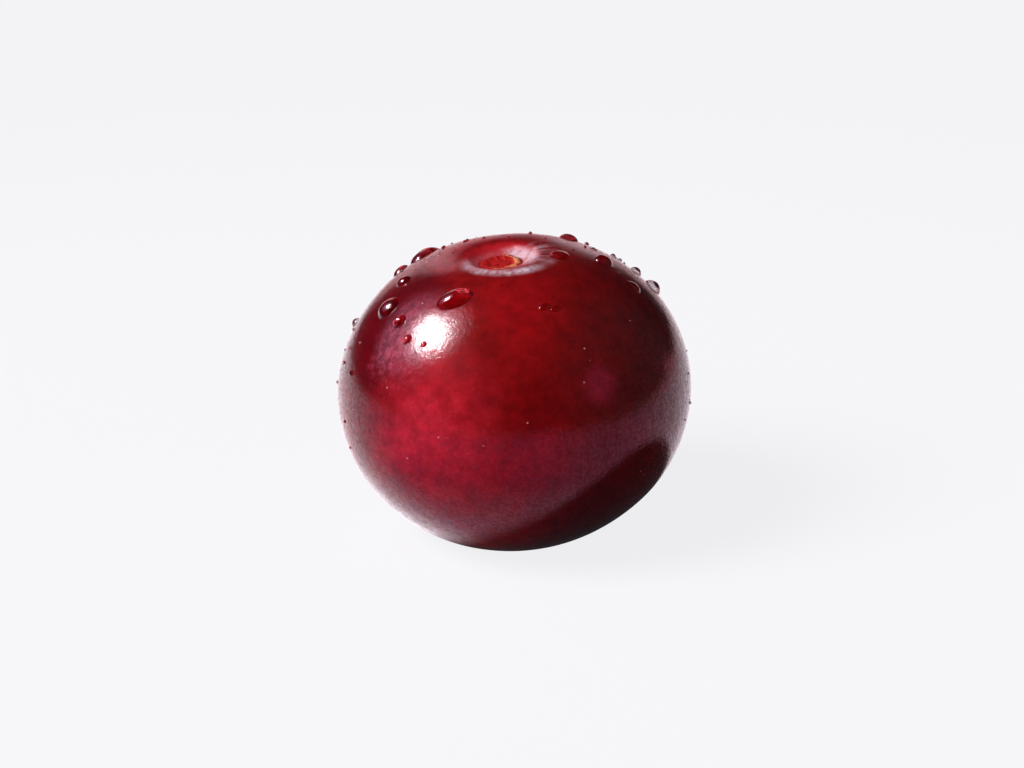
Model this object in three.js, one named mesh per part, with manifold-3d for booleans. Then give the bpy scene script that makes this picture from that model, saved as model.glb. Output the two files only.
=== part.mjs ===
// A ripe cranberry, one solid fruit, resting on its blossom end on a small flat spot.
// Millimetres, +Z up. The origin is the bottom centre of the berry's bounding box.
import * as THREE from "three";
import { mergeVertices } from "three/addons/utils/BufferGeometryUtils.js";
import Module from "manifold-3d";

// Driving dimensions
const width = 20; // across the widest place
const poleToPole = 17.54; // along the berry's own axis, before the dents at its two ends
const leanForward = 6; // degrees that the axis tips towards -Y
const leanLeft = 5.5; // degrees that the axis tips towards -X
const fullness = 0.012; // how much fuller the stem half is than the blossom half, as a share
const restDepth = 0.25; // how much of the bottom the flat spot takes off

const stemEnd = {
  bowlDepth: 0.45, // the shallow bowl that the stalk grew from
  bowlRadius: 2.75,
  cupDepth: 0.44, // a cup at the bottom of the bowl, whose floor is the scar
  cupRadius: 1.66,
  cupWall: 0.66, // how far the cup's wall spreads outwards as it rises
  behind: 0.22, // how far the dent lies behind the berry's own axis
};
const blossomEnd = {
  bowlDepth: 0.2,
  bowlRadius: 1.6,
  cupDepth: 0.35, // the pit between the dried calyx lobes
  cupRadius: 0.75,
  cupWall: 0.3,
  behind: 0,
};

const sides = 64; // facets round the axis
const steps = 48; // facets from pole to pole
const crowding = 0.75; // how strongly the facets crowd towards the poles, from 0 to 1

const skin = new THREE.MeshStandardMaterial({
  name: "skin",
  color: 0x7a0f1a,
  roughness: 0.25,
  metalness: 0,
});

// How deep an end is dented at a radius: a wide bell-shaped bowl with a steeper cup in its middle.
function dentDepth(end, radius) {
  const bowl = end.bowlDepth * Math.exp(-((radius / end.bowlRadius) ** 2));
  const cup = end.cupDepth / (1 + Math.exp((radius - end.cupRadius) / (end.cupWall / 4)));
  return bowl + cup;
}

// The half outline from the blossom end's pole to the stem end's pole. Its points crowd towards
// the poles, where the cups are.
function outline() {
  const points = [];
  for (let i = 0; i <= steps; i++) {
    const even = i / steps;
    const turn = Math.PI * even - (crowding / 2) * Math.sin(2 * Math.PI * even);
    const belly = (width / 2) * Math.sin(turn) * (1 - fullness * Math.cos(turn));
    const radius = i === 0 || i === steps ? 0 : belly;
    points.push(new THREE.Vector2(radius, (-poleToPole / 2) * Math.cos(turn)));
  }
  return points;
}

// Presses the two ends in along the axis, which is +Z here.
function dentEnds(fruit) {
  const place = fruit.getAttribute("position");
  for (let i = 0; i < place.count; i++) {
    const height = place.getZ(i);
    const end = height < 0 ? blossomEnd : stemEnd;
    const radius = Math.hypot(place.getX(i), place.getY(i) - end.behind);
    place.setZ(i, height - Math.sign(height) * dentDepth(end, radius));
  }
}

// The fruit turned about its axis, stood up on +Z, dented and then leaned over.
function leaningFruit() {
  const fruit = new THREE.LatheGeometry(outline(), sides);
  fruit.rotateX(Math.PI / 2);
  dentEnds(fruit);
  fruit.rotateX(THREE.MathUtils.degToRad(leanForward));
  fruit.rotateY(THREE.MathUtils.degToRad(-leanLeft));
  return fruit;
}

// A block whose top face cuts the flat spot off the bottom.
function blockUnder(fruit) {
  fruit.computeBoundingBox();
  const top = fruit.boundingBox.min.z + restDepth;
  const block = new THREE.BoxGeometry(2 * width, 2 * width, width);
  block.translate(0, 0, top - width / 2);
  return block;
}

const wasm = await Module();
wasm.setup();

function toSolid(geometry) {
  geometry.deleteAttribute("normal");
  geometry.deleteAttribute("uv");
  const merged = mergeVertices(geometry, 1e-4);
  return new wasm.Manifold(
    new wasm.Mesh({
      numProp: 3,
      vertProperties: merged.attributes.position.array,
      triVerts: new Uint32Array(merged.index.array),
    }),
  );
}

function toGeometry(solid) {
  const mesh = solid.getMesh();
  const geometry = new THREE.BufferGeometry();
  geometry.setAttribute("position", new THREE.BufferAttribute(mesh.vertProperties, 3));
  geometry.setIndex(new THREE.BufferAttribute(mesh.triVerts, 1));
  return geometry;
}

function berryGeometry() {
  const fruit = leaningFruit();
  const block = blockUnder(fruit);
  const geometry = toGeometry(toSolid(fruit).subtract(toSolid(block)));
  geometry.computeBoundingBox();
  const { min, max } = geometry.boundingBox;
  geometry.translate(-(min.x + max.x) / 2, -(min.y + max.y) / 2, -min.z);
  geometry.computeVertexNormals();
  return geometry;
}

const berry = new THREE.Mesh(berryGeometry(), skin);
berry.name = "berry";

const cranberry = new THREE.Group();
cranberry.add(berry);

export default cranberry;
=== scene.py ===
import math
import random

import bpy
from mathutils import Euler, Matrix, Vector


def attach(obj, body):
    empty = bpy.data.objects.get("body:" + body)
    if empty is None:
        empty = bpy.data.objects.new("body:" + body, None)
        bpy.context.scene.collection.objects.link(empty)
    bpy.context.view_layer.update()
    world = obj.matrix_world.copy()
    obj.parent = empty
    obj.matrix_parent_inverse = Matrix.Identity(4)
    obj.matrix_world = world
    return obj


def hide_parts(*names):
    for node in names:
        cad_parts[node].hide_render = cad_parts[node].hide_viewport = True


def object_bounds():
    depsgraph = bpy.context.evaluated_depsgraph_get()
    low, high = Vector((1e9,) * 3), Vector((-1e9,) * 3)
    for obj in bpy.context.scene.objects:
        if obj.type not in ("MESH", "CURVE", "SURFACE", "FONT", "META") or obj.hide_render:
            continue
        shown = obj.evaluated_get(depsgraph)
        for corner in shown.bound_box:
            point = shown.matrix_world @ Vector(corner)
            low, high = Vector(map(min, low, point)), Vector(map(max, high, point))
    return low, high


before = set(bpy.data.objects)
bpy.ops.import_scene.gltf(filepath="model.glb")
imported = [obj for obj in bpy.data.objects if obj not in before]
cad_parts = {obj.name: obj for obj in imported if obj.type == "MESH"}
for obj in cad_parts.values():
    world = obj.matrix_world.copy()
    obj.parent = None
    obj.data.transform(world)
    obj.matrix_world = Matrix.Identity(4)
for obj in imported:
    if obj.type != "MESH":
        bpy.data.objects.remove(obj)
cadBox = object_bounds()

# A ripe cranberry with drops of water on it. Lengths are in metres. The dictionaries give millimetres,
# and everything is multiplied by mm where it is used.
mm = 0.001
berryMiddle = (cadBox[0] + cadBox[1]) / 2


def deselectAll():
    if bpy.context.object and bpy.context.object.mode != "OBJECT":
        bpy.ops.object.mode_set(mode="OBJECT")
    bpy.ops.object.select_all(action="DESELECT")


def makeActive(piece):
    deselectAll()
    piece.select_set(True)
    bpy.context.view_layer.objects.active = piece


def addNode(tree, kind, inputs=None, **settings):
    node = tree.nodes.new(kind)
    for name, value in settings.items():
        setattr(node, name, value)
    for name, value in (inputs or {}).items():
        if isinstance(value, bpy.types.NodeSocket):
            tree.links.new(value, node.inputs[name])
        else:
            node.inputs[name].default_value = value
    return node


def maths(tree, operation, first, second=0.0):
    return addNode(tree, "ShaderNodeMath", {0: first, 1: second}, operation=operation).outputs[0]


def product(tree, first, *others):
    for other in others:
        first = maths(tree, "MULTIPLY", first, other)
    return first


def fromRing(tree, distance, ring):
    # How far a distance is from a ring's radius, inwards or outwards.
    return maths(tree, "ABSOLUTE", maths(tree, "SUBTRACT", distance, ring))


def vectorMaths(tree, operation, first, second=(0, 0, 0), third=(0, 0, 0)):
    inputs = {0: first, 1: second, 2: third}
    node = addNode(tree, "ShaderNodeVectorMath", inputs, operation=operation)
    return node.outputs["Value" if operation in ("LENGTH", "DISTANCE", "DOT_PRODUCT") else "Vector"]


def coordinates(tree, place):
    return addNode(tree, "ShaderNodeSeparateXYZ", {0: place}).outputs


def millimetrePlace(tree):
    metres = addNode(tree, "ShaderNodeTexCoord").outputs["Object"]
    return vectorMaths(tree, "MULTIPLY", metres, (1 / mm,) * 3)


def noise(tree, place, scale, detail=3.0, roughness=0.5):
    inputs = {"Vector": place, "Scale": scale, "Detail": detail, "Roughness": roughness}
    return addNode(tree, "ShaderNodeTexNoise", inputs).outputs["Fac"]


def smoothStep(tree, value, low, high, lowOut=0.0, highOut=1.0):
    inputs = {"Value": value, "From Min": low, "From Max": high, "To Min": lowOut, "To Max": highOut}
    node = addNode(tree, "ShaderNodeMapRange", inputs, interpolation_type="SMOOTHSTEP")
    return node.outputs["Result"]


def blendColours(tree, share, first, second, blend="MIX"):
    node = addNode(tree, "ShaderNodeMix", data_type="RGBA", blend_type=blend, clamp_factor=True)
    for socket, value in ((node.inputs[0], share), (node.inputs[6], first), (node.inputs[7], second)):
        if isinstance(value, bpy.types.NodeSocket):
            tree.links.new(value, socket)
        else:
            socket.default_value = value
    return node.outputs[2]


def newMaterial(name):
    material = bpy.data.materials.new(name)
    material.use_nodes = True
    tree = material.node_tree
    tree.nodes.clear()
    output = tree.nodes.new("ShaderNodeOutputMaterial")
    return material, tree, output


berryShape = {
    "width": 20.0,
    "poleToPole": 17.54,
    "fullness": 0.012,  # how much fuller the stem half is than the blossom half
    "leanForward": 6.0,  # degrees towards -Y
    "leanLeft": 5.5,  # degrees towards -X
    "restDepth": 0.25,
    "outlineSteps": 90,
    "crowding": 0.85,  # how strongly the steps crowd towards the poles
    "sides": 144,
    "stemBowl": (0.45, 2.75),  # depth and radius of the bowl round the scar
    "stemCup": (0.44, 1.66, 0.66),  # depth, radius and width of the wall that the scar sits in
    "pitBehind": 0.22,  # how far the bowl and the cup lie behind the middle of the scar
    "scarRidge": (0.10, 0.90, 0.16),  # height, radius and width of the torn rim on the scar
    "scarGap": (0.10, 1.20, 0.09),  # depth, radius and width of the gap round the scar
    "blossomBowl": (0.2, 1.6),
    "blossomCup": (0.35, 0.75, 0.3),
    "lobeRadii": (0.62, 0.95),  # the calyx lobes at the blossom end
    "lobeTurns": (22, 68),  # degrees within each quarter
    "lobeLift": 0.1,
    "lobeLean": 0.62,  # how far in their tips lean, as a share of their radius
    "uneven": (7.0, 0.12),  # size and height of the whole fruit's unevenness
    "torn": (0.3, 0.2),  # size and height of the lumps on the scar
    "tornReach": (1.5, 0.3),  # the radius where the lumps end, and how wide their fading edge is
    "smoothAngle": 40.0,  # edges sharper than this stay sharp
}


def dentDepth(bowl, cup, radius):
    depth = bowl[0] * math.exp(-((radius / bowl[1]) ** 2))
    return depth + cup[0] / (1 + math.exp((radius - cup[1]) / (cup[2] / 4)))


def bump(ring, radius):
    return ring[0] * math.exp(-(((radius - ring[1]) / ring[2]) ** 2))


def berryOutline(shape):
    # Half outline in the XZ plane, from the blossom end to the stem end.
    points = []
    steps = shape["outlineSteps"]
    for i in range(steps + 1):
        even = i / steps
        turn = math.pi * even - shape["crowding"] / 2 * math.sin(2 * math.pi * even)
        belly = shape["width"] / 2 * math.sin(turn) * (1 - shape["fullness"] * math.cos(turn))
        radius = 0.0 if i in (0, steps) else belly
        height = -shape["poleToPole"] / 2 * math.cos(turn)
        if even < 0.5:
            height += dentDepth(shape["blossomBowl"], shape["blossomCup"], radius)
        else:
            height += bump(shape["scarRidge"], radius) - bump(shape["scarGap"], radius)
        points.append(Vector((radius, 0, height)) * mm)
    return points


def spinOutline(name, points, sides):
    # A single vertex is extruded along the outline, which is then spun round Z.
    deselectAll()
    bpy.ops.mesh.primitive_plane_add(size=mm)
    piece = bpy.context.object
    piece.name = piece.data.name = name
    bpy.ops.object.mode_set(mode="EDIT")
    bpy.ops.mesh.select_all(action="SELECT")
    bpy.ops.mesh.merge(type="CENTER")
    bpy.ops.transform.translate(value=points[0])
    for here, there in zip(points, points[1:]):
        bpy.ops.mesh.extrude_region_move(TRANSFORM_OT_translate={"value": there - here})
    bpy.ops.mesh.select_all(action="SELECT")
    bpy.ops.mesh.spin(steps=sides, angle=2 * math.pi, center=(0, 0, 0), axis=(0, 0, 1))
    bpy.ops.mesh.select_all(action="SELECT")
    bpy.ops.mesh.remove_doubles(threshold=0.002 * mm)
    bpy.ops.mesh.normals_make_consistent(inside=False)
    bpy.ops.object.mode_set(mode="OBJECT")
    return piece


def selectFaces(piece, wanted):
    makeActive(piece)
    bpy.ops.object.mode_set(mode="EDIT")
    bpy.ops.mesh.select_mode(type="FACE")
    bpy.ops.mesh.select_all(action="DESELECT")
    bpy.ops.object.mode_set(mode="OBJECT")
    for face in piece.data.polygons:
        face.select = wanted(face.center / mm)
    bpy.ops.object.mode_set(mode="EDIT")


def applyModifier(piece, kind, **settings):
    makeActive(piece)
    modifier = piece.modifiers.new(kind.title(), kind)
    for name, value in settings.items():
        setattr(modifier, name, value)
    bpy.ops.object.modifier_apply(modifier=modifier.name)


def cloudTexture(name, size, depth):
    texture = bpy.data.textures.new(name, "CLOUDS")
    texture.noise_scale = size * mm
    texture.noise_depth = depth
    return texture


def sprinkleWeights(piece, name, weightAt):
    group = piece.vertex_groups.new(name=name)
    for vertex in piece.data.vertices:
        weight = weightAt(vertex.co / mm)
        if weight > 0.001:
            group.add([vertex.index], weight, "REPLACE")


def makeBerry(shape):
    berry = spinOutline("berry_fruit", berryOutline(shape), shape["sides"])

    # Four small calyx lobes lean in over the pit at the blossom end.
    def onLobe(place):
        radius = math.hypot(place.x, place.y)
        turn = math.degrees(math.atan2(place.y, place.x)) % 90
        inner, outer = shape["lobeRadii"]
        start, end = shape["lobeTurns"]
        return place.z < 0 and inner < radius < outer and start < turn < end

    selectFaces(berry, onLobe)
    bpy.ops.mesh.extrude_region_move(TRANSFORM_OT_translate={"value": (0, 0, shape["lobeLift"] * mm)})
    bpy.ops.transform.resize(value=(shape["lobeLean"], shape["lobeLean"], 1), center_override=(0, 0, 0))

    applyModifier(berry, "SUBSURF", levels=1, render_levels=1)

    # The pit at the stem end lies a little behind the scar.
    deepest = shape["stemBowl"][0] + shape["stemCup"][0]

    def inPit(place):
        radius = math.hypot(place.x, place.y - shape["pitBehind"])
        return 0 if place.z < 0 else dentDepth(shape["stemBowl"], shape["stemCup"], radius) / deepest

    sprinkleWeights(berry, "pit", inPit)
    applyModifier(berry, "DISPLACE", strength=-deepest * mm, mid_level=0, direction="Z",
                  vertex_group="pit")

    # The whole fruit is a little uneven, and the scar is torn and lumpy.
    size, height = shape["uneven"]
    applyModifier(berry, "DISPLACE", texture=cloudTexture("unevenness", size, 1), strength=height * mm,
                  mid_level=0.5, texture_coords="LOCAL")

    def inScar(place):
        radius = math.hypot(place.x, place.y)
        reach, edge = shape["tornReach"]
        return 0 if place.z < 0 else min(1, max(0, (reach - radius) / edge))

    sprinkleWeights(berry, "scar", inScar)
    size, height = shape["torn"]
    applyModifier(berry, "DISPLACE", texture=cloudTexture("tornScar", size, 3), strength=height * mm,
                  mid_level=0.5, texture_coords="LOCAL", vertex_group="scar")
    return berry


def standUp(berry, shape):
    # Leans the berry's axis over, cuts the flat spot and sets it down on z = 0.
    makeActive(berry)
    berry.rotation_euler = (math.radians(shape["leanForward"]), math.radians(-shape["leanLeft"]), 0)
    bpy.ops.object.transform_apply(location=False, rotation=True, scale=False)
    lowest = min(vertex.co.z for vertex in berry.data.vertices)
    bpy.ops.object.mode_set(mode="EDIT")
    bpy.ops.mesh.select_all(action="SELECT")
    cut = lowest + shape["restDepth"] * mm
    bpy.ops.mesh.bisect(plane_co=(0, 0, cut), plane_no=(0, 0, 1), use_fill=True, clear_inner=True,
                        threshold=0.001 * mm)
    bpy.ops.object.mode_set(mode="OBJECT")
    berry.location = (0, 0, -cut)
    bpy.ops.object.transform_apply(location=True, rotation=False, scale=False)
    bpy.ops.object.shade_smooth_by_angle(angle=math.radians(shape["smoothAngle"]))
    return -cut


berry = makeBerry(berryShape)
middleHeight = standUp(berry, berryShape)
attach(berry, "root")
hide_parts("berry")
print("berry:", len(berry.data.polygons), "faces, middle at", round(middleHeight / mm, 2), "mm")


# Noises are scale, detail and roughness. Ramps are where they start and end, and the values there,
# which are 0 and 1 where they aren't given. Places and lengths are millimetres from the berry's middle.
skinLook = {
    # the darker red of the clouds, and painted shade on the right side
    "deep": (0.075, 0.0021, 0.0021, 1),
    "red": (0.290, 0.0048, 0.0062, 1),
    # painted shade along the left edge
    "deepLeft": (0.110, 0.0003, 0.0040, 1),
    "fleck": (0.520, 0.0450, 0.0650, 1),
    "pore": (0.750, 0.300, 0.300, 1),
    "scarFloor": (0.510, 0.014, 0.016, 1),
    "scarDeep": (0.300, 0.006, 0.006, 1),
    "scarTan": (0.850, 0.300, 0.120, 1),
    # painted shade in the gap round the scar
    "scarGap": (0.100, 0.004, 0.004, 1),
    "scarWall": (0.620, 0.018, 0.032, 1),
    # pale bloom, and a painted reflection of the light on the pit's wall, lip and rays
    "bloomAndSheen": (0.880, 0.640, 0.750, 1),
    # a lilac halo round the highlight: painted sheen, as well as waxy bloom
    "lilacBloomAndHalo": (0.350, 0.043, 0.080, 1),
    "lilacMiddle": (-5.7, -4.7, 6.0),
    "lilacReach": 3.7,
    "lilacCore": 1.0,
    "lilacNoise": (2.2, 6.0, 0.80),
    "lilacRamp": (0.43, 0.60, 0.02, 0.80),
    "lilacEdge": (-0.92, -0.86),
    "mottle": (1.6, 5.0, 0.65),
    "brokenRamp": (0.2, 0.7, 0.5, 1.0),  # how the mottling breaks the patches up
    "clouds": (0.35, 4.0, 0.6),
    "cloudRamp": (0.35, 0.62, 0.35, 0),
    "facingWander": 0.25,  # how far the clouds move the left side's edge
    "leftRamp": (-0.92, -0.52, 1, 0),
    "leftRise": (0.0, 4.0, 0.4, 1),
    "leftTop": (7.9, 8.4, 1, 0),
    "leftShare": 0.95,
    "edgeWander": 4.0,  # how far the clouds move the right side's edge
    "edgeLean": 0.3,
    "rightRamp": (-4.0, 6.5, 0, 0.79),
    "rightFoot": (-1.5, 2.5, 1.15, 1),
    "patchCore": 0.15,  # share of a patch's reach where it shows fully
    "fleckNoise": (3.6, 5.0, 0.75),
    "fleckRamp": (0.55, 0.72),
    "fleckShare": (0, 0.6, 0.07, 0.75),  # few flecks elsewhere, many in the last patch
    "grain": (1.1, 6.0, 0.7),
    "grainRamp": (0.25, 0.75, 0.72, 1.28),
    "poreScale": 0.78,
    "poreRamp": (0.027, 0.056, 0.8, 0),
    # the stem end: radii are from the berry's own axis
    "stemOnly": (-1, 1, 50, 0),  # pushes the blossom end out of reach
    "tornNoise": (2.6, 4.0, 0.7),
    "wallWander": 0.5,
    "wallRamp": (2.1, 2.7, 0.8, 0),
    "bloomTurn": (0.94, 0.34, 0),  # the bloom and painted reflection are strongest towards this side
    "bloomMiddle": (0.2, -0.25, 0),
    "bloomRing": 1.5,
    "bloomRamp": (0.1, 0.7, 1, 0),
    "bloomWander": 0.6,
    "bloomShare": (0.55, 1.2, 0.13, 1),
    "bloomBroken": (0.30, 0.62, 0.35, 0.95),
    "lipStretch": (0.85, 1, 0),
    "lipShift": (-0.425, 0.28, 0),
    "lipRing": 2.05,
    "lipRamp": (0.0, 0.55, 1.2, 0),
    "lipFront": (-0.55, 0.3, 1, 0),
    "lipRight": (1.2, 2.6, 1, 0.25),
    "lipLeft": (-3.0, -1.0, 0.1, 1),
    "rayNoise": (4.6, 3.0, 0.6),
    "streakRamp": (0.35, 0.60, 0.45, 1.0),
    "fanReach": (1.9, 3.5, 0.70, 0),
    "fanRays": (0.36, 0.62),
    "fanTurn": (0.65, 0.95),
    "scarEdge": (1.16, 1.26, 1, 0),
    "scarNoise": (3.0, 3.0, 0.6),
    "scarRamp": (0.45, 0.80),
    "rimTurn": (0.95, -0.25, 0),  # the tan rim is widest towards this side
    "rimRing": 0.92,
    "rimWidth": (-0.7, 1.0, -0.04, 0.15),
    "rimTorn": (0.38, 0.58, 0.10, 0),
    "rimRamp": (0.0, 0.07, 1, 0),
    "gapRing": 1.20,
    "gapRamp": (0.02, 0.12, 0.5, 0),
    "matteRamp": (1.2, 2.0, 0.9, 0),  # the scar and its wall aren't polished as the skin is
    # gloss and flesh
    "drawnOut": (1, 1, 0.2),  # the dull marks run down the berry
    "drawnNoise": (2.4, 4.0, 0.65),
    "drawnRamp": (0.35, 0.65, 1.0, 0.8),
    "dustNoise": (5.5, 3.0, 0.65),
    "dustRamp": (0.38, 0.62, 1.0, 0.55),
    "roughness": 0.4,
    "ior": 1.38,
    "specular": 0.02,
    "flesh": 0.25,  # how much light goes into the flesh and comes out again
    "fleshRadius": (1.0, 0.12, 0.08),
    "fleshDepth": 0.6,
    "coatRoughness": 0.08,
    "coarseBumps": (1.8, 3.0, 0.6),
    "coarseShare": 0.6,
    "fineBumps": (8.0, 3.0),
    "fineShare": 0.4,
    "bumpHeight": 0.02,
    # Soft patches: millimetres from the berry's middle, reach, colour and how strongly it shows. Some are
    # painted light and shade, as marked.
    "patches": [
        ((0.5, -5.0, 7.6), 3.6, (0.400, 0.0050, 0.0090, 1), 0.55),
        ((0.0, -9.3, 3.4), 3.2, (0.075, 0.0011, 0.0020, 1), 0.35),
        ((3.2, -8.6, 4.0), 3.0, (0.075, 0.0011, 0.0020, 1), 0.32),
        # painted light: a small magenta glint on the right
        ((4.9, -7.6, 3.6), 1.4, (0.310, 0.0140, 0.0400, 1), 1.0),
        ((1.4, -9.7, 1.4), 2.6, (0.290, 0.0060, 0.0120, 1), 0.4),
        # painted shade: dark at the bottom right, where the berry's own shadow falls
        ((3.4, -7.2, -5.8), 7.6, (0.028, 0.0150, 0.0175, 1), 0.72),
        # painted light, and blush: a bright red patch at the front left, below the highlight
        ((-4.9, -8.1, 2.9), 5.7, (0.510, 0.0148, 0.0300, 1), 1.0),
    ],
}


def berryPlace(tree, shape):
    # Millimetres from the berry's middle, with Z along its own axis, whatever its lean.
    place = addNode(tree, "ShaderNodeTexCoord").outputs["Object"]
    lean = (math.radians(shape["leanForward"]), math.radians(-shape["leanLeft"]), 0)
    inputs = {"Vector": place, "Location": (0, 0, middleHeight), "Rotation": lean, "Scale": (mm, mm, mm)}
    return addNode(tree, "ShaderNodeMapping", inputs, vector_type="TEXTURE").outputs[0]


def fleshColour(tree, look, place, parts, radius):
    # painted shade on the left edge and the right side, over a red with darker clouds mottled at several
    # sizes, and soft lighter and darker patches, some of them painted light and shade
    mottle = noise(tree, place, *look["mottle"])
    clouds = noise(tree, place, *look["clouds"])
    wander = maths(tree, "SUBTRACT", clouds, 0.5)
    facing = maths(tree, "DIVIDE", parts["X"], radius)
    facing = maths(tree, "ADD", facing, product(tree, wander, look["facingWander"]))
    # painted shade: darker along the left edge, weaker low down and gone near the stem end
    leftSide = product(tree, smoothStep(tree, facing, *look["leftRamp"]),
                       smoothStep(tree, parts["Z"], *look["leftRise"]),
                       smoothStep(tree, parts["Z"], *look["leftTop"]))
    # painted shade: the right side darker, its edge moved by the clouds and leaning with height
    across = maths(tree, "ADD", parts["X"], product(tree, wander, look["edgeWander"]))
    across = maths(tree, "SUBTRACT", across, product(tree, parts["Z"], look["edgeLean"]))
    rightShade = product(tree, smoothStep(tree, across, *look["rightRamp"]),
                        smoothStep(tree, parts["Z"], *look["rightFoot"]))
    shade = maths(tree, "MAXIMUM", rightShade, smoothStep(tree, clouds, *look["cloudRamp"]))
    colour = blendColours(tree, shade, look["red"], look["deep"])
    broken = smoothStep(tree, mottle, *look["brokenRamp"])
    for middle, reach, tone, strength in look["patches"]:
        away = vectorMaths(tree, "DISTANCE", place, middle)
        patch = smoothStep(tree, away, reach * look["patchCore"], reach, strength, 0.0)
        colour = blendColours(tree, product(tree, patch, broken), colour, tone)
    flecks = smoothStep(tree, noise(tree, place, *look["fleckNoise"]), *look["fleckRamp"])
    flecks = product(tree, flecks, smoothStep(tree, patch, *look["fleckShare"]))
    colour = blendColours(tree, flecks, colour, look["fleck"])
    colour = blendColours(tree, product(tree, leftSide, look["leftShare"]), colour, look["deepLeft"])

    # painted sheen, as well as waxy bloom: a mottled lilac halo round the highlight, fading at the far left
    # edge
    away = vectorMaths(tree, "DISTANCE", place, look["lilacMiddle"])
    lilacBloomAndHalo = product(tree, smoothStep(tree, away, look["lilacCore"], look["lilacReach"], 1.0, 0.0),
                    smoothStep(tree, facing, *look["lilacEdge"]),
                    smoothStep(tree, noise(tree, place, *look["lilacNoise"]), *look["lilacRamp"]))
    colour = blendColours(tree, lilacBloomAndHalo, colour, look["lilacBloomAndHalo"])
    grain = smoothStep(tree, noise(tree, place, *look["grain"]), *look["grainRamp"])
    colour = blendColours(tree, 1.0, colour, grain, "MULTIPLY")

    # pale breathing pores, far apart
    pores = addNode(tree, "ShaderNodeTexVoronoi", {"Vector": place, "Scale": look["poreScale"]})
    pores = smoothStep(tree, pores.outputs["Distance"], *look["poreRamp"])
    return blendColours(tree, pores, colour, look["pore"])


def waxyBloomAndSheen(tree, look, flat, parts, radius, torn):
    # Pale bloom and a painted reflection of the light on the pit's wall, strongest at the back right, where
    # the wall faces the light, and falling off to both sides.
    backRight = maths(tree, "DIVIDE", vectorMaths(tree, "DOT_PRODUCT", flat, look["bloomTurn"]), radius)
    backRight = maths(tree, "ADD", backRight, product(tree, torn, look["bloomWander"]))
    ring = fromRing(tree, vectorMaths(tree, "DISTANCE", flat, look["bloomMiddle"]), look["bloomRing"])
    bloomAndSheen = product(tree, smoothStep(tree, ring, *look["bloomRamp"]),
                    smoothStep(tree, backRight, *look["bloomShare"]))

    # a pale streaky lip round the front: a painted highlight
    lip = vectorMaths(tree, "MULTIPLY_ADD", flat, look["lipStretch"], look["lipShift"])
    lip = fromRing(tree, vectorMaths(tree, "LENGTH", lip), look["lipRing"])
    lip = product(tree, smoothStep(tree, lip, *look["lipRamp"]),
                  smoothStep(tree, maths(tree, "DIVIDE", parts["Y"], radius), *look["lipFront"]),
                  smoothStep(tree, parts["X"], *look["lipRight"]),
                  smoothStep(tree, parts["X"], *look["lipLeft"]))
    rays = noise(tree, vectorMaths(tree, "NORMALIZE", flat), *look["rayNoise"])
    streaks = smoothStep(tree, rays, *look["streakRamp"])
    bloomAndSheen = maths(tree, "MAXIMUM", bloomAndSheen, product(tree, lip, streaks))

    # fine pale rays that run out to the right: painted sheen
    fan = product(tree, smoothStep(tree, radius, *look["fanReach"]),
                  smoothStep(tree, rays, *look["fanRays"]),
                  smoothStep(tree, maths(tree, "DIVIDE", parts["X"], radius), *look["fanTurn"]))
    bloomAndSheen = maths(tree, "MAXIMUM", bloomAndSheen, fan)
    return product(tree, bloomAndSheen, smoothStep(tree, torn, *look["bloomBroken"]))


def scarColour(tree, look, colour, place, flat, radius, torn):
    # a red floor inside a torn tan rim, with painted shade in the gap round it
    floorRed = smoothStep(tree, noise(tree, place, *look["scarNoise"]), *look["scarRamp"])
    floorRed = blendColours(tree, floorRed, look["scarFloor"], look["scarDeep"])
    colour = blendColours(tree, smoothStep(tree, radius, *look["scarEdge"]), colour, floorRed)
    rightFront = vectorMaths(tree, "DOT_PRODUCT", flat, look["rimTurn"])
    rim = fromRing(tree, radius, look["rimRing"])
    rim = maths(tree, "ADD", rim, smoothStep(tree, torn, *look["rimTorn"]))
    rim = maths(tree, "SUBTRACT", rim, smoothStep(tree, rightFront, *look["rimWidth"]))
    colour = blendColours(tree, smoothStep(tree, rim, *look["rimRamp"]), colour, look["scarTan"])
    # painted shade: the gap round the scar darkened
    gapShade = smoothStep(tree, fromRing(tree, radius, look["gapRing"]), *look["gapRamp"])
    return blendColours(tree, gapShade, colour, look["scarGap"])


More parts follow.
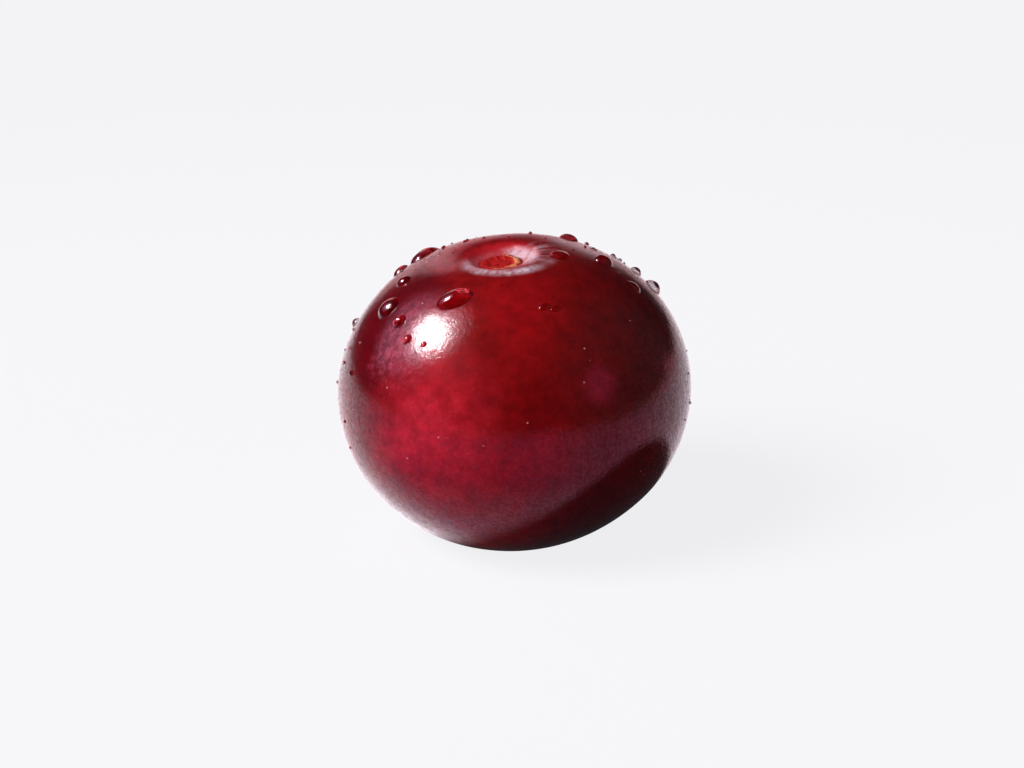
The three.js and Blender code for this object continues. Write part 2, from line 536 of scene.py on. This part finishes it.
def skinMaterial(look, shape):
    material, tree, output = newMaterial("cranberrySkin")
    place = berryPlace(tree, shape)
    parts = coordinates(tree, place)
    flat = vectorMaths(tree, "MULTIPLY", place, (1, 1, 0))
    radius = vectorMaths(tree, "LENGTH", flat)
    colour = fleshColour(tree, look, place, parts, radius)

    stemRadius = maths(tree, "ADD", radius, smoothStep(tree, parts["Z"], *look["stemOnly"]))
    torn = noise(tree, place, *look["tornNoise"])
    wall = maths(tree, "ADD", stemRadius, product(tree, torn, look["wallWander"]))
    colour = blendColours(tree, smoothStep(tree, wall, *look["wallRamp"]), colour, look["scarWall"])
    bloomAndSheen = waxyBloomAndSheen(tree, look, flat, parts, stemRadius, torn)
    colour = blendColours(tree, bloomAndSheen, colour, look["bloomAndSheen"])
    colour = scarColour(tree, look, colour, place, flat, stemRadius, torn)

    drawn = vectorMaths(tree, "MULTIPLY", place, look["drawnOut"])
    matte = smoothStep(tree, stemRadius, *look["matteRamp"])
    gloss = product(tree, smoothStep(tree, noise(tree, drawn, *look["drawnNoise"]), *look["drawnRamp"]),
                    smoothStep(tree, noise(tree, place, *look["dustNoise"]), *look["dustRamp"]),
                    maths(tree, "SUBTRACT", 1.0, matte))

    skin = addNode(tree, "ShaderNodeBsdfPrincipled", {
        "Base Color": colour,
        "Roughness": look["roughness"],
        "IOR": look["ior"],
        "Specular IOR Level": look["specular"],
        "Subsurface Weight": look["flesh"],
        "Subsurface Radius": look["fleshRadius"],
        "Subsurface Scale": look["fleshDepth"] * mm,
        "Coat Weight": gloss,
        "Coat Roughness": look["coatRoughness"],
        "Coat IOR": look["ior"],
    }, subsurface_method="RANDOM_WALK")
    fine = product(tree, noise(tree, place, *look["fineBumps"]), look["fineShare"])
    coarse = product(tree, noise(tree, place, *look["coarseBumps"]), look["coarseShare"])
    bumps = {"Height": maths(tree, "ADD", coarse, fine), "Strength": 1.0, "Distance": look["bumpHeight"] * mm}
    relief = addNode(tree, "ShaderNodeBump", bumps).outputs[0]
    tree.links.new(relief, skin.inputs["Normal"])
    tree.links.new(relief, skin.inputs["Coat Normal"])
    tree.links.new(skin.outputs[0], output.inputs["Surface"])
    return material


berry.data.materials.clear()
berry.data.materials.append(skinMaterial(skinLook, berryShape))
print("skin done")


# A few drops are large and stand where they were placed, and many small ones are sprinkled. Each row is a
# turn round the axis (0 in front, 90 on the right), an angle down from the stem end, a width in millimetres,
# a height as a share of it, how much longer the drop is than wide, and which way it is long: 0 runs round
# the berry, 90 runs down it, and a negative one leans up to the right.
dropsLook = {
    "byHand": [
        (-33.5, 31, 1.48, 0.27, 1.42, -38), (-131.5, 39.5, 1.50, 0.26, 1.35, 0),
        (-120.5, 46, 0.95, 0.29, 1.3, 0), (-90, 36.8, 0.92, 0.28, 1.05, -85),
        (-75, 45, 1.45, 0.24, 1.05, -79), (-58.5, 45.7, 0.85, 0.32, 1.08, -72),
        (-47, 50, 0.62, 0.34, 1.1, -79), (-37.3, 50, 0.35, 0.36, 1.15, -40),
        (-105, 65.5, 0.72, 0.40, 1, 0), (-93, 62.5, 0.24, 0.5, 1, 0), (-82.5, 65, 0.26, 0.5, 1, 0),
        (-82.5, 70.5, 0.22, 0.5, 1, 0), (-71, 69.5, 0.30, 0.5, 1, 0), (-90, 81, 0.20, 0.5, 1, 0),
        (135.5, 36.6, 1.10, 0.28, 1.05, 0), (95.5, 38.4, 1.12, 0.32, 1.1, 0),
        (112, 56.5, 0.76, 0.38, 1, 0), (106, 62.3, 1.12, 0.38, 1, 0),
        (84, 50, 0.95, 0.18, 1.05, 0), (86, 22, 1.00, 0.08, 1.3, 0),
        (24, 37.3, 0.50, 0.22, 1.4, 0), (29.5, 39.4, 0.45, 0.13, 1.3, 10),
        (1, 23.5, 0.16, 0.5, 1, 0), (157, 29, 0.24, 0.5, 1, 0),
        (-164, 22.5, 0.22, 0.5, 1, 0), (-152, 26.5, 0.22, 0.5, 1, 0), (-135, 30.5, 0.26, 0.5, 1, 0),
        (130, 42.5, 0.30, 0.5, 1, 0), (114, 34.5, 0.18, 0.5, 1, 0), (114, 39, 0.18, 0.5, 1, 0),
        (101, 27.5, 0.16, 0.5, 1, 0), (120, 49.5, 0.36, 0.5, 1, 0), (117.5, 51.5, 0.28, 0.5, 1, 0),
        (80, 84.5, 0.15, 0.5, 1, 0), (72.5, 97.5, 0.14, 0.5, 1, 0),
    ],
    "small": {"count": 130, "turns": (70, 290), "downs": (18, 96), "widths": (0.07, 0.22), "height": 0.45},
    "back": {"count": 16, "turns": (150, 225), "downs": (42, 88), "widths": (0.30, 1.20), "height": 0.35},
    "backLengths": (1, 1.3),
    "backHeadings": (0, 180),
    "seed": 11,
    "largeCap": (36, 40, 0.6),  # segments, rings and how high the cap is, where 1 is half a ball
    "smallCap": (14, 14, 0.8),
    "largeFrom": 0.4,  # wider drops than this are made from the large cap
    "footDepth": 0.1,
    "wobble": (0.9, 0.05),  # size and height of the drops' unevenness
    "sink": 0.06,  # how deep a drop's edge sits in the skin, as a share of its height
    "dropShadeTint": (0.52, 0.06, 0.08, 1),  # painted: a tint that darkens and reddens what is seen through each drop, standing in for the shaded skin under it
    "clearTint": (0.80, 0.72, 0.74, 1),  # of the drops that stand out at the sides, which get less of the painted tint
    "leftFrom": (-8.6, -8.2, 1, 0),  # where the clear drops are, as ramps
    "leftAbove": (11.2, 11.7),
    "behindLeftFrom": (-7.0, -6.4, 0.6, 0),
    "behindFrom": (1.5, 2.5),
    "rightFrom": (5.3, 5.7),
    "ripple": (1.4, 2.0),
    "rippleRoughness": (0.3, 0.8, 0.0, 0.03),
    "rippleHeight": 0.01,
    "ior": 1.333,
}


def addCap(name, segments, rings, flatness, footDepth):
    # A drop one millimetre wide at z = 0 and one high: the top of a ball, with a short foot below.
    radius = 0.5 * (flatness + 1 / flatness) / 2
    deselectAll()
    bpy.ops.mesh.primitive_uv_sphere_add(segments=segments, ring_count=rings, radius=radius * mm)
    cap = bpy.context.object
    cap.name = cap.data.name = name
    bpy.ops.object.mode_set(mode="EDIT")
    bpy.ops.mesh.select_all(action="SELECT")
    bpy.ops.transform.translate(value=(0, 0, (flatness / 2 - radius) * mm))
    bpy.ops.mesh.bisect(plane_co=(0, 0, -footDepth * flatness * mm), plane_no=(0, 0, 1), use_fill=True,
                        clear_inner=True, threshold=0.0001 * mm)
    bpy.ops.mesh.select_all(action="SELECT")
    bpy.ops.transform.resize(value=(1, 1, 2 / flatness), center_override=(0, 0, 0))
    bpy.ops.object.mode_set(mode="OBJECT")
    return cap


def randomPlace(spread):
    turn = random.uniform(*spread["turns"])
    down = random.uniform(*spread["downs"])
    narrow, wide = spread["widths"]
    return turn, down, narrow + (wide - narrow) * random.random() ** 2, spread["height"]


def dropPlaces(look):
    places = list(look["byHand"])
    random.seed(look["seed"])
    for _ in range(look["small"]["count"]):
        places.append((*randomPlace(look["small"]), 1, 0))
    for _ in range(look["back"]["count"]):
        place = randomPlace(look["back"])
        length = random.uniform(*look["backLengths"])
        places.append((*place, length, random.uniform(*look["backHeadings"])))
    return places


def makeDrops(look, shape, berry):
    large = addCap("largeDrop", *look["largeCap"], look["footDepth"])
    small = addCap("smallDrop", *look["smallCap"], look["footDepth"])
    lean = Euler((math.radians(shape["leanForward"]), math.radians(-shape["leanLeft"]), 0)).to_matrix()
    middle = Vector((0, 0, middleHeight))
    drops = []
    for turn, down, width, height, length, heading in dropPlaces(look):
        across = math.radians(turn)
        drop = math.radians(down)
        outwards = (math.sin(across) * math.sin(drop), -math.cos(across) * math.sin(drop), math.cos(drop))
        ray = lean @ Vector(outwards)
        _, place, normal, _ = berry.ray_cast(middle + ray * shape["width"] * mm, -ray)
        makeActive(large if width > look["largeFrom"] else small)
        bpy.ops.object.duplicate()
        copy = bpy.context.object
        copy.location = place - normal * look["sink"] * height * width * mm
        roundAbout = normal.cross(ray - normal * ray.dot(normal) + lean @ Vector((0, 0, -1)))
        along = Matrix.Rotation(math.radians(-heading), 3, normal) @ roundAbout
        side = normal.cross(along).normalized()
        copy.rotation_euler = Matrix((side.cross(normal), side, normal)).transposed().to_euler()
        copy.scale = (width * length, width, width * height)
        drops.append(copy)
    deselectAll()
    for unused in (large, small):
        unused.select_set(True)
    bpy.ops.object.delete()
    for drop in drops:
        drop.select_set(True)
    bpy.context.view_layer.objects.active = drops[0]
    bpy.ops.object.join()
    water = bpy.context.object
    water.name = water.data.name = "water_drops"
    bpy.ops.object.transform_apply(location=True, rotation=True, scale=True)
    size, height = look["wobble"]
    applyModifier(water, "DISPLACE", texture=cloudTexture("wobble", size, 0), strength=height * mm,
                  mid_level=0.5, texture_coords="LOCAL")
    makeActive(water)
    bpy.ops.object.shade_smooth()
    return water


def waterMaterial(look):
    material, tree, output = newMaterial("clearWater")
    place = millimetrePlace(tree)
    parts = coordinates(tree, place)
    # the drops that stand out at the sides get less of the painted tint
    atLeft = product(tree, smoothStep(tree, parts["X"], *look["leftFrom"]),
                     smoothStep(tree, parts["Z"], *look["leftAbove"]))
    behindLeft = product(tree, smoothStep(tree, parts["X"], *look["behindLeftFrom"]),
                         smoothStep(tree, parts["Y"], *look["behindFrom"]))
    clear = maths(tree, "MAXIMUM", atLeft, behindLeft)
    clear = maths(tree, "MAXIMUM", clear, smoothStep(tree, parts["X"], *look["rightFrom"]))
    ripple = noise(tree, place, *look["ripple"])
    bumps = {"Height": ripple, "Strength": 1.0, "Distance": look["rippleHeight"] * mm}
    water = addNode(tree, "ShaderNodeBsdfPrincipled", {
        "Base Color": blendColours(tree, clear, look["dropShadeTint"], look["clearTint"]),
        "Roughness": smoothStep(tree, ripple, *look["rippleRoughness"]),
        "IOR": look["ior"],
        "Transmission Weight": 1.0,
        "Normal": addNode(tree, "ShaderNodeBump", bumps).outputs[0],
    }).outputs[0]
    tree.links.new(water, output.inputs["Surface"])
    return material


water = makeDrops(dropsLook, berryShape, berry)
water.data.materials.clear()
water.data.materials.append(waterMaterial(dropsLook))
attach(water, "root")
print("water:", len(water.data.polygons), "faces")


stageLook = {
    "pale": (0.896, 0.896, 0.913, 1),  # what the camera sees of the floor and the backdrop
    "floorRadius": 900.0,
    "fadeFrom": 45.0,  # where the lit floor starts to turn into the even backdrop
    "fadeTo": 120.0,
    "shadowShare": 0.16,  # how much of the seen floor is lit, so that its shadow stays soft
    "nearGlow": 1.12,  # the rest of it glows, so that near and far look the same
    "bounce": 0.38,  # how much of what the skin mirrors also lights it
    "mirrorBackLeft": (1.82, 1.70, 1.82, 1),  # the floor as the skin mirrors it, by direction
    "mirrorBackRight": (1.42, 1.22, 1.34, 1),
    "mirrorLeftSide": (2.30, 2.30, 2.45, 1),  # close by on the left
    "mirrorFrontLeft": (0.45, 0.24, 0.62, 1),
    "mirrorFront": (1.20, 0.27, 0.68, 1),
    "mirrorFrontRight": (1.60, 0.50, 0.86, 1),
    "mirrorNear": (1.28, 1.02, 1.35, 1),
    "farShare": (0.36, 0.60, 0.38, 1),  # how much of that is left far in front
    "mirrorFarLeft": (0.10, 0.06, 0.08, 1),  # the floor far behind
    "mirrorFarMiddle": (1.15, 0.78, 0.80, 1),
    "mirrorFarRight": (1.35, 0.50, 0.62, 1),
    "mirrorShade": (0.045, 0.04, 0.045, 1),
    "shadeMiddle": (10.0, -2.8, 0.0),  # the berry's own shadow on the mirrored floor
    "shadeReach": (14.5, 8.6, 1000.0),
    "shadeRamp": (0.85, 1.08),
    "footMiddle": (2.5, 1.0, 0.0),  # where the berry stands on it
    "footRamp": (6, 9),
    "lit": (0.8, 0.8, 0.815, 1),
    "fanFrom": (0, -6, 0),  # the mirrored tones fan out from here
    # ramps to the right, to the back and outwards between the mirrored tones
    "backRight": (-0.8, 0.8),
    "leftSide": (-0.88, -0.62, 1, 0),
    "leftSideNear": (9, 17, 1, 0),
    "frontLeft": (-0.9, -0.1),
    "frontRight": (0.2, 0.95),
    "near": (8, 18, 0.7, 0),
    "frontToBack": (-0.35, 0.85),
    "farLeft": (-0.5, -0.15),
    "farRight": (0.5, 0.92),
    "farToBack": (-0.1, 0.45),
    "far": (45, 210),
}


def makeFloor(look):
    deselectAll()
    bpy.ops.mesh.primitive_circle_add(vertices=96, radius=look["floorRadius"] * mm, fill_type="NGON")
    floor = bpy.context.object
    floor.name = "floor"
    material, tree, output = newMaterial("paleFloor")
    place = millimetrePlace(tree)

    # what the camera sees: even and pale, with a soft shadow close to the berry
    away = vectorMaths(tree, "LENGTH", place)
    fade = smoothStep(tree, away, look["fadeFrom"], look["fadeTo"])
    glow = addNode(tree, "ShaderNodeEmission", {"Color": look["pale"]}).outputs[0]
    lit = addNode(tree, "ShaderNodeBsdfDiffuse", {"Color": look["lit"]}).outputs[0]
    nearGlow = {"Color": look["pale"], "Strength": look["nearGlow"]}
    nearGlow = addNode(tree, "ShaderNodeEmission", nearGlow).outputs[0]
    near = addNode(tree, "ShaderNodeMixShader", {0: look["shadowShare"], 1: nearGlow, 2: lit}).outputs[0]
    seen = addNode(tree, "ShaderNodeMixShader", {0: fade, 1: near, 2: glow}).outputs[0]

    # what the glossy skin mirrors: bright behind, dim in front and far away, dark in the berry's shadow
    ahead = vectorMaths(tree, "SUBTRACT", place, look["fanFrom"])
    ahead = coordinates(tree, vectorMaths(tree, "NORMALIZE", ahead))
    right, back = ahead["X"], ahead["Y"]
    share = smoothStep(tree, right, *look["backRight"])
    behind = blendColours(tree, share, look["mirrorBackLeft"], look["mirrorBackRight"])
    share = product(tree, smoothStep(tree, away, *look["leftSideNear"]),
                    smoothStep(tree, right, *look["leftSide"]))
    behind = blendColours(tree, share, behind, look["mirrorLeftSide"])
    share = smoothStep(tree, right, *look["frontLeft"])
    before = blendColours(tree, share, look["mirrorFrontLeft"], look["mirrorFront"])
    share = smoothStep(tree, right, *look["frontRight"])
    before = blendColours(tree, share, before, look["mirrorFrontRight"])
    before = blendColours(tree, smoothStep(tree, away, *look["near"]), before, look["mirrorNear"])
    mirrored = blendColours(tree, smoothStep(tree, back, *look["frontToBack"]), before, behind)
    share = smoothStep(tree, right, *look["farLeft"])
    far = blendColours(tree, share, look["mirrorFarLeft"], look["mirrorFarMiddle"])
    far = blendColours(tree, smoothStep(tree, right, *look["farRight"]), far, look["mirrorFarRight"])
    dimmed = blendColours(tree, 1.0, mirrored, look["farShare"], "MULTIPLY")
    far = blendColours(tree, smoothStep(tree, back, *look["farToBack"]), dimmed, far)
    mirrored = blendColours(tree, smoothStep(tree, away, *look["far"]), mirrored, far)
    inputs = {"Vector": place, "Location": look["shadeMiddle"], "Scale": look["shadeReach"]}
    shade = addNode(tree, "ShaderNodeMapping", inputs, vector_type="TEXTURE").outputs[0]
    share = smoothStep(tree, vectorMaths(tree, "LENGTH", shade), *look["shadeRamp"])
    mirrored = blendColours(tree, share, look["mirrorShade"], mirrored)
    share = smoothStep(tree, vectorMaths(tree, "DISTANCE", place, look["footMiddle"]), *look["footRamp"])
    mirrored = blendColours(tree, share, look["mirrorShade"], mirrored)
    ray = addNode(tree, "ShaderNodeLightPath").outputs
    strength = smoothStep(tree, ray["Is Glossy Ray"], 0, 1, look["bounce"], 1)
    felt = addNode(tree, "ShaderNodeEmission", {"Color": mirrored, "Strength": strength}).outputs[0]
    both = addNode(tree, "ShaderNodeMixShader", {0: ray["Is Camera Ray"], 1: felt, 2: seen}).outputs[0]
    tree.links.new(both, output.inputs["Surface"])
    floor.data.materials.append(material)


def towards(azimuth, elevation):
    turn, rise = math.radians(azimuth), math.radians(elevation)
    return Vector((math.sin(turn) * math.cos(rise), -math.cos(turn) * math.cos(rise), math.sin(rise)))


studioLook = {
    "dome": (0.024, 0.019, 0.025, 1),  # the dark studio round the berry
    "lightDistance": 900.0,
    # Azimuth 0 is the viewer's side and 90 the right. Width and height are angles, as the berry sees them.
    "lights": [
        {"name": "keyShade", "azimuth": -60, "elevation": 42, "width": 30, "height": 30,
         "brightness": 12.5, "diffuse": True, "glossy": False, "through": False},
        {"name": "fillShade", "azimuth": -35, "elevation": 15, "width": 60, "height": 60,
         "brightness": 0.7, "diffuse": True, "glossy": False, "through": False},
        {"name": "keyGloss", "azimuth": -95.3, "elevation": 47.2, "width": 24, "height": 18,
         "brightness": 60, "diffuse": False, "glossy": True, "through": True},
    ],
    # Soft glows that the skin mirrors: azimuth, elevation, the angles between which they fade, and colour.
    "glows": [
        (-95, 47.2, 9, 20.5, (9.5, 6.7, 7.6)),  # two soft glows round the key
        (-106, 38, 12, 30, (2.5, 1.2, 2.0)),
        (82, 21, 20, 60, (0.15, 0.14, 0.16)),
        (-163, 2, 2, 10, (1.20, 0.70, 0.74)),
        (-163, 14, 2, 10, (1.25, 0.74, 0.78)),
        (-164, 25, 2, 10, (1.15, 0.68, 0.74)),
        (-178, 3, 5, 15, (0.34, 0.20, 0.25)),
        (-172, 2, 2, 6, (0.60, 0.42, 0.40)),
        (-174, 6, 1, 7, (0.65, 0.33, 0.35)),
        (-170, 16, 2, 8, (0.70, 0.12, 0.18)),
        (-163, 29, 2, 7, (1.20, 0.52, 0.64)),
        (170, 11, 4, 10, (0.72, 0.55, 0.58)),
        (168, 2, 4, 13, (0.80, 0.50, 0.55)),
        (158, -4, 3, 9, (0.90, 0.62, 0.66)),
        (122, -2, 3, 9, (1.20, 0.30, 0.42)),
        (-62, 0, 4, 22, (0.30, 0.16, 0.30)),
    ],
}


def addLight(look, distance):
    away = towards(look["azimuth"], look["elevation"])
    deselectAll()
    bpy.ops.object.light_add(type="AREA", location=berryMiddle + away * distance * mm)
    light = bpy.context.object
    light.name = look["name"]
    light.rotation_euler = away.to_track_quat("Z", "Y").to_euler()
    light.data.shape = "ELLIPSE"
    light.data.size = 2 * distance * mm * math.tan(math.radians(look["width"] / 2))
    light.data.size_y = 2 * distance * mm * math.tan(math.radians(look["height"] / 2))
    area = light.data.size * light.data.size_y * (math.pi / 4)
    light.data.energy = look["brightness"] * math.pi * area
    light.visible_camera = False
    light.visible_diffuse = look["diffuse"]
    light.visible_glossy = look["glossy"]
    light.visible_transmission = look["through"]


def makeWorld(seen, dome, glows):
    # The camera sees an even backdrop. The skin mirrors a dark studio with a few soft glows in it.
    world = bpy.data.worlds.new("studio")
    bpy.context.scene.world = world
    world.use_nodes = True
    tree = world.node_tree
    tree.nodes.clear()
    look = addNode(tree, "ShaderNodeTexCoord").outputs["Generated"]
    studio = dome
    for azimuth, elevation, inner, outer, colour in glows:
        near = vectorMaths(tree, "DOT_PRODUCT", look, towards(azimuth, elevation))
        share = smoothStep(tree, near, math.cos(math.radians(outer)), math.cos(math.radians(inner)))
        glow = blendColours(tree, share, (0, 0, 0, 1), (*colour, 1))
        studio = blendColours(tree, 1.0, studio, glow, "ADD")
    ray = addNode(tree, "ShaderNodeLightPath").outputs
    mirrored = blendColours(tree, ray["Is Glossy Ray"], dome, studio)
    pale = addNode(tree, "ShaderNodeBackground", {"Color": seen, "Strength": 1.0}).outputs[0]
    dark = addNode(tree, "ShaderNodeBackground", {"Color": mirrored, "Strength": 1.0}).outputs[0]
    mixed = addNode(tree, "ShaderNodeMixShader", {0: ray["Is Camera Ray"], 1: dark, 2: pale}).outputs[0]
    tree.links.new(mixed, addNode(tree, "ShaderNodeOutputWorld").inputs["Surface"])


cameraLook = {
    "elevation": 20,
    "distance": 161,
    "lens": 100,
    "sensorWidth": 36,
    "shift": (-0.0024, 0.0068),
    "clip": (0.005, 5),  # metres
}


def makeCamera(look):
    deselectAll()
    rise = math.radians(look["elevation"])
    away = Vector((0, -math.cos(rise), math.sin(rise)))
    centre = Vector((0, 0, middleHeight))
    bpy.ops.object.camera_add(location=centre + away * look["distance"] * mm)
    camera = bpy.context.object
    camera.name = "camera"
    camera.rotation_euler = away.to_track_quat("Z", "Y").to_euler()
    camera.data.lens = look["lens"]
    camera.data.sensor_width = look["sensorWidth"]
    camera.data.shift_x, camera.data.shift_y = look["shift"]
    camera.data.clip_start, camera.data.clip_end = look["clip"]
    bpy.context.scene.camera = camera


makeFloor(stageLook)
for lightLook in studioLook["lights"]:
    addLight(lightLook, studioLook["lightDistance"])
makeWorld(stageLook["pale"], studioLook["dome"], studioLook["glows"])
makeCamera(cameraLook)
bpy.context.scene.view_settings.view_transform = "Standard"
bpy.context.scene.view_settings.look = "None"
